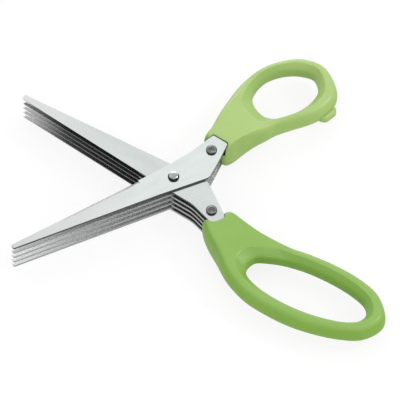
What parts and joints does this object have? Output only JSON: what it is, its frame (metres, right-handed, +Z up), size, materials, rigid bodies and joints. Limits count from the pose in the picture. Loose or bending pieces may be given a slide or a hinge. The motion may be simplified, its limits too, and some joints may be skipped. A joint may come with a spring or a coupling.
{
  "type": "herb scissors",
  "caption": "Kitchen scissors with a stack of paired shearing blades and green moulded loop handles, standing open, for snipping fresh herbs into fine strips.",
  "frame": {"origin": "where the pivot axis meets the table, on the underside of the pivot nut", "axes": "+Z up along the pivot axis, +X from the blade tips towards the handles, +Y towards the thumb handle as the scissors lie open"},
  "size_m": [0.1661, 0.1475, 0.02],
  "materials": {
    "blade_steel": "fine brushed, ground cutting edges",
    "handle_green": "satin moulded apple green",
    "pivot_chrome": "polished dome",
    "nut_steel": "plated",
    "rivet_dark": "dark burnished",
    "spacer_steel": "turned, plain"
  },
  "bodies": {
    "thumb_half": {"blade_a1": "blade_steel", "blade_a2": "blade_steel", "blade_a3": "blade_steel", "blade_a4": "blade_steel", "blade_a5": "blade_steel", "thumb_handle": "handle_green", "pivot_screw": "pivot_chrome", "pivot_nut": "nut_steel", "pivot_washer_1": "spacer_steel", "pivot_washer_2": "spacer_steel", "pivot_washer_3": "spacer_steel", "pivot_washer_4": "spacer_steel", "tang_rivet_a": "rivet_dark", "tang_spacer_a1": "spacer_steel", "tang_spacer_a2": "spacer_steel", "tang_spacer_a3": "spacer_steel", "tang_spacer_a4": "spacer_steel"},
    "finger_half": {"blade_b1": "blade_steel", "blade_b2": "blade_steel", "blade_b3": "blade_steel", "blade_b4": "blade_steel", "blade_b5": "blade_steel", "finger_handle": "handle_green", "tang_rivet_b": "rivet_dark", "tang_spacer_b1": "spacer_steel", "tang_spacer_b2": "spacer_steel", "tang_spacer_b3": "spacer_steel", "tang_spacer_b4": "spacer_steel"}
  },
  "joints": [
    {"name": "pivot", "type": "hinge", "parent": "thumb_half", "child": "finger_half", "pos_m": [0, 0, 0], "axis": [0, 0, 1], "range_deg": [-25, 59.4]}
  ]
}
